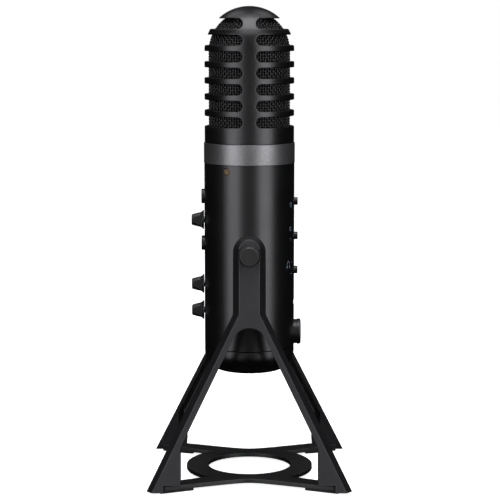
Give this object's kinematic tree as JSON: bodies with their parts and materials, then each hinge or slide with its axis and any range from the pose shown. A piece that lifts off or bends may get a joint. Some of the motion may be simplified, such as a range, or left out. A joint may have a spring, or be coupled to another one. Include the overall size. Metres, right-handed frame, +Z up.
{
  "type": "desktop microphone",
  "caption": "Upright desktop microphone with slotted round-topped grille, side knobs, buttons and sockets, tilting between two leaning A-frame arms on a ring base.",
  "frame": {"origin": "on the table under the microphone's axis, at the middle of the base ring", "axes": "+Z up along the microphone; the controls face -X, the sockets face +X, the two arms stand at -Y and +Y"},
  "size_m": [0.1274, 0.1288, 0.2973],
  "materials": {
    "coated_steel": "fine matt powder coat",
    "cast_arm": "fine matt powder coat",
    "pad_rubber": "matt",
    "bright_screw": "zinc",
    "washer_nylon": "matt",
    "satin_black": "satin",
    "satin_band": "satin, anodised grey",
    "mesh_wire": "dark woven wire",
    "acoustic_foam": "open foam",
    "capsule_brass": "satin",
    "black_plastic": "matt",
    "chassis_steel": "plated",
    "circuit_board": "solder mask",
    "socket_black": "satin",
    "socket_shell": "plated",
    "bronze_screw": "dark bronze",
    "light_pipe": "clear",
    "knurled_black": "satin, knurled",
    "knob_black": "satin",
    "button_black": "satin"
  },
  "bodies": {
    "stand": {"base_plate": "coated_steel", "right_arm": "cast_arm", "left_arm": "cast_arm", "foot_pads": "pad_rubber", "arm_screws": "bright_screw", "tilt_washers": "washer_nylon"},
    "microphone": {"housing_tube": "satin_black", "trim_band": "satin_band", "head_grille": "satin_black", "mesh_basket": "mesh_wire", "foam_liner": "acoustic_foam", "capsule": "capsule_brass", "capsule_mount": "black_plastic", "bottom_cup": "satin_black", "stand_insert": "capsule_brass", "chassis": "chassis_steel", "main_board": "circuit_board", "control_board": "circuit_board", "upper_jack": "socket_black", "middle_jack": "socket_black", "monitor_jack": "socket_black", "instrument_jack": "socket_black", "usb_socket": "socket_shell", "pivot_inserts": "chassis_steel", "housing_screws": "bronze_screw", "potentiometers": "black_plastic", "tactile_switches": "black_plastic", "status_light": "light_pipe"},
    "right_clamp": {"right_clamp_knob": "knurled_black"},
    "left_clamp": {"left_clamp_knob": "knurled_black"},
    "upper_control": {"upper_knob": "knob_black", "upper_shaft": "chassis_steel"},
    "middle_control": {"middle_knob": "knob_black", "middle_shaft": "chassis_steel"},
    "lower_control": {"lower_knob": "knob_black", "lower_shaft": "chassis_steel"},
    "upper_key": {"upper_button": "button_black"},
    "lower_key": {"lower_button": "button_black"}
  },
  "joints": [
    {"name": "microphone_tilt", "type": "hinge", "parent": "stand", "child": "microphone", "pos_m": [0, 0, 0.1455], "axis": [0, 1, 0], "range_deg": [-90, 90]},
    {"name": "right_clamp_turn", "type": "hinge", "parent": "microphone", "child": "right_clamp", "pos_m": [0, -0.045, 0.1455], "axis": [0, -1, 0], "range_deg": [0, 360]},
    {"name": "left_clamp_turn", "type": "hinge", "parent": "microphone", "child": "left_clamp", "pos_m": [0, 0.045, 0.1455], "axis": [0, 1, 0], "range_deg": [0, 360]},
    {"name": "upper_knob_turn", "type": "hinge", "parent": "microphone", "child": "upper_control", "pos_m": [-0.0325, 0, 0.163], "axis": [-1, 0, 0], "range_deg": [-150, 150]},
    {"name": "middle_knob_turn", "type": "hinge", "parent": "microphone", "child": "middle_control", "pos_m": [-0.0325, 0, 0.1219], "axis": [-1, 0, 0], "range_deg": [-150, 150]},
    {"name": "lower_knob_turn", "type": "hinge", "parent": "microphone", "child": "lower_control", "pos_m": [-0.0325, 0, 0.105], "axis": [-1, 0, 0], "range_deg": [-150, 150]},
    {"name": "upper_button_press", "type": "slide", "parent": "microphone", "child": "upper_key", "axis": [1, 0, 0], "range_m": [0, 0.0008], "stiffness_N_per_m": 600},
    {"name": "lower_button_press", "type": "slide", "parent": "microphone", "child": "lower_key", "axis": [1, 0, 0], "range_m": [0, 0.0008], "stiffness_N_per_m": 600}
  ]
}
